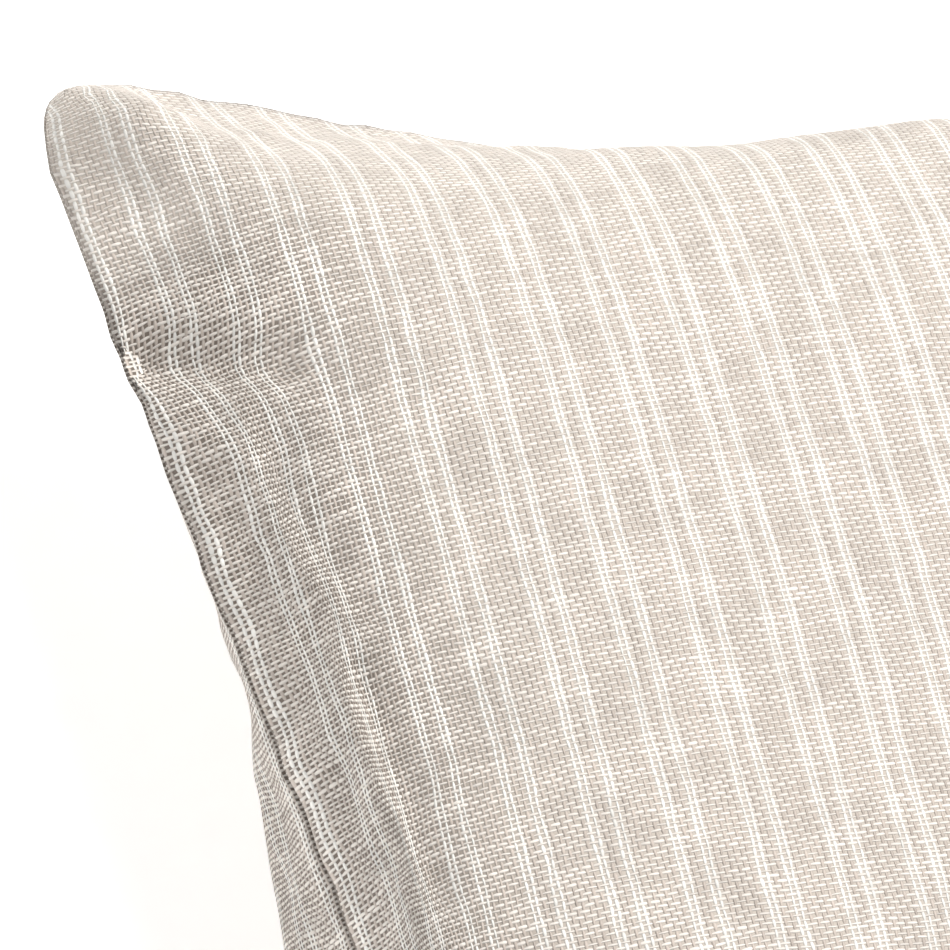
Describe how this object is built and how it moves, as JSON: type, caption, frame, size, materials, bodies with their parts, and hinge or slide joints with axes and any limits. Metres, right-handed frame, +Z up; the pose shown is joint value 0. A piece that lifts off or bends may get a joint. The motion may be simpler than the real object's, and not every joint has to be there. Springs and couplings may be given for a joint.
{
  "type": "throw pillow",
  "caption": "Square throw pillow with a zipped, striped open-weave linen cover over a stuffed insert.",
  "frame": {"origin": "centre of the pillow's bounding box on the surface that its back panel rests on", "axes": "+Z up out of the front panel, +Y towards the side opposite the zip, along the stripes; +X towards the closed end of the zip"},
  "size_m": [0.4902, 0.49, 0.146],
  "materials": {
    "striped_linen": "open plain-weave slub linen, taupe warp with cream stripes and cream weft",
    "sewing_thread": "spun polyester thread",
    "zip_tape": "woven tape",
    "zip_coil": "nylon coil",
    "zip_metal": "satin nickel-plated metal",
    "label_satin": "blank white satin",
    "insert_cotton": "plain white cotton",
    "fibre_fill": "polyester fibre"
  },
  "bodies": {
    "pillow": {"cover_front": "striped_linen", "cover_back": "striped_linen", "overlock_thread": "sewing_thread", "zip_topstitch_front": "sewing_thread", "zip_topstitch_back": "sewing_thread", "zip_tape_front": "zip_tape", "zip_tape_back": "zip_tape", "zip_coil_front": "zip_coil", "zip_coil_back": "zip_coil", "zip_closed_end_stop": "zip_metal", "zip_open_end_stop": "zip_metal", "care_label": "label_satin", "insert_casing_front": "insert_cotton", "insert_casing_back": "insert_cotton", "insert_fill": "fibre_fill"},
    "slider": {"zip_slider": "zip_metal"},
    "pull_tab": {"zip_pull_tab": "zip_metal"}
  },
  "joints": [
    {"name": "zip_slide", "type": "slide", "parent": "pillow", "child": "slider", "axis": [-1, 0, 0], "range_m": [0, 0.34]},
    {"name": "pull_tab_swing", "type": "hinge", "parent": "slider", "child": "pull_tab", "pos_m": [0.1699, -0.2229, 0.071], "axis": [0, 0, 1], "range_deg": [0, 180]}
  ]
}
